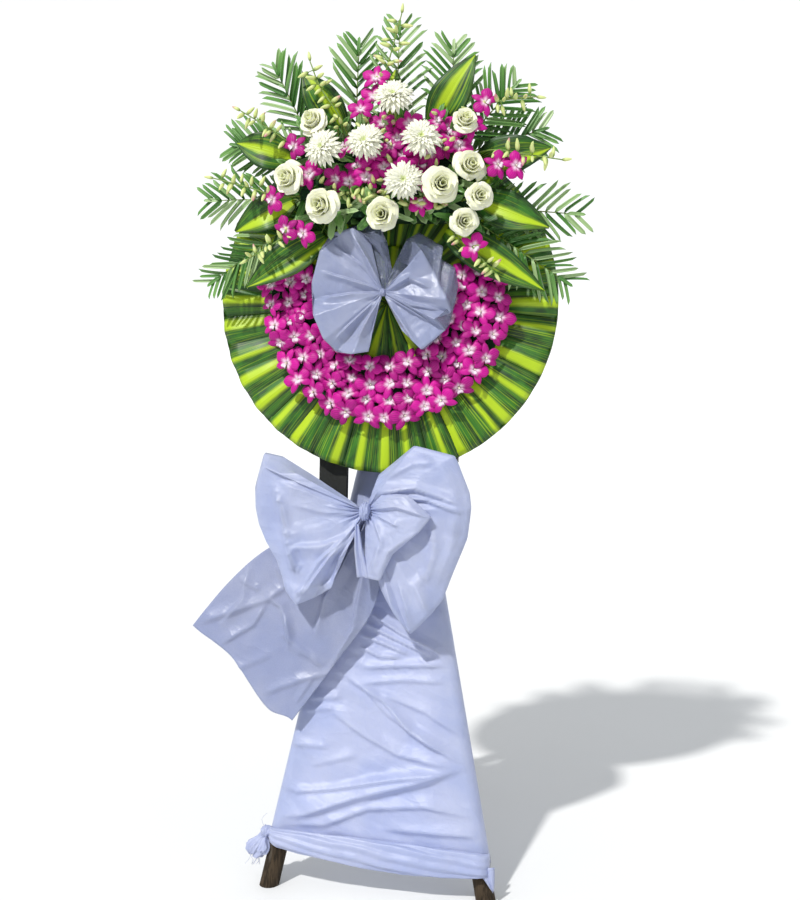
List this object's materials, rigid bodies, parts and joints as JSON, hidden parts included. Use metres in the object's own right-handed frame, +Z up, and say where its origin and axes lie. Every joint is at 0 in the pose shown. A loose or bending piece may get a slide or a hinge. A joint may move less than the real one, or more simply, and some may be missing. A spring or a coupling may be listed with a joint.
{
  "type": "funeral wreath on a stand",
  "caption": "Leaf-covered disc with a bank of orchids, a spray of cut flowers and palm fronds, cloth bows and a cloth-draped stand of lashed poles.",
  "frame": {"origin": "middle of the object's box at floor level, between the three feet", "axes": "+Z up, the disc's face looks along -Y, +X is to the right as seen from the front"},
  "size_m": [0.8712, 0.7178, 1.8642],
  "materials": {
    "bark": "rough dark bark on round poles",
    "batten": "sawn wood, painted near black",
    "board": "plain raw board",
    "cord": "wound natural cord",
    "foam": "dark green open-cell foam",
    "striped_leaf": "glossy green leaf with yellow-green stripes",
    "palm": "satin green leaflets",
    "orchid": "velvety magenta petals with white centres",
    "orchid_spray": "magenta blooms and pale green buds",
    "rose": "soft creamy petals, greenish outside",
    "chrysanthemum": "soft white petals with a greenish heart",
    "cloth": "thin smooth cloth with a soft sheen"
  },
  "bodies": {
    "root": {"leg_left": "bark", "leg_right": "bark", "leg_rear": "bark", "lashing": "cord", "header": "batten", "batten_left": "batten", "batten_right": "batten", "wreath_board": "board", "leaf_collar": "striped_leaf", "centre_leaves": "striped_leaf", "ring_foam": "foam", "orchid_bank": "orchid", "spray_foam": "foam", "rose_1": "rose", "rose_2": "rose", "rose_3": "rose", "rose_4": "rose", "rose_5": "rose", "rose_6": "rose", "rose_7": "rose", "rose_8": "rose", "rose_9": "rose", "chrysanthemum_1": "chrysanthemum", "chrysanthemum_2": "chrysanthemum", "chrysanthemum_3": "chrysanthemum", "chrysanthemum_4": "chrysanthemum", "chrysanthemum_5": "chrysanthemum", "striped_leaf_1": "striped_leaf", "striped_leaf_2": "striped_leaf", "striped_leaf_3": "striped_leaf", "striped_leaf_4": "striped_leaf", "striped_leaf_5": "striped_leaf", "striped_leaf_6": "striped_leaf", "striped_leaf_7": "striped_leaf", "striped_leaf_8": "striped_leaf", "striped_leaf_9": "striped_leaf", "palm_frond_1": "palm", "palm_frond_2": "palm", "palm_frond_3": "palm", "palm_frond_4": "palm", "palm_frond_5": "palm", "palm_frond_6": "palm", "palm_frond_7": "palm", "palm_frond_8": "palm", "palm_frond_9": "palm", "palm_frond_10": "palm", "palm_frond_11": "palm", "orchid_spray_1": "orchid_spray", "orchid_spray_2": "orchid_spray", "orchid_spray_3": "orchid_spray", "orchid_spray_4": "orchid_spray", "orchid_spray_5": "orchid_spray", "orchid_spray_6": "orchid_spray", "orchid_spray_7": "orchid_spray", "orchid_spray_8": "orchid_spray", "orchid_spray_9": "orchid_spray", "centre_bow": "cloth", "lower_bow": "cloth", "skirt": "cloth"}
  },
  "joints": []
}
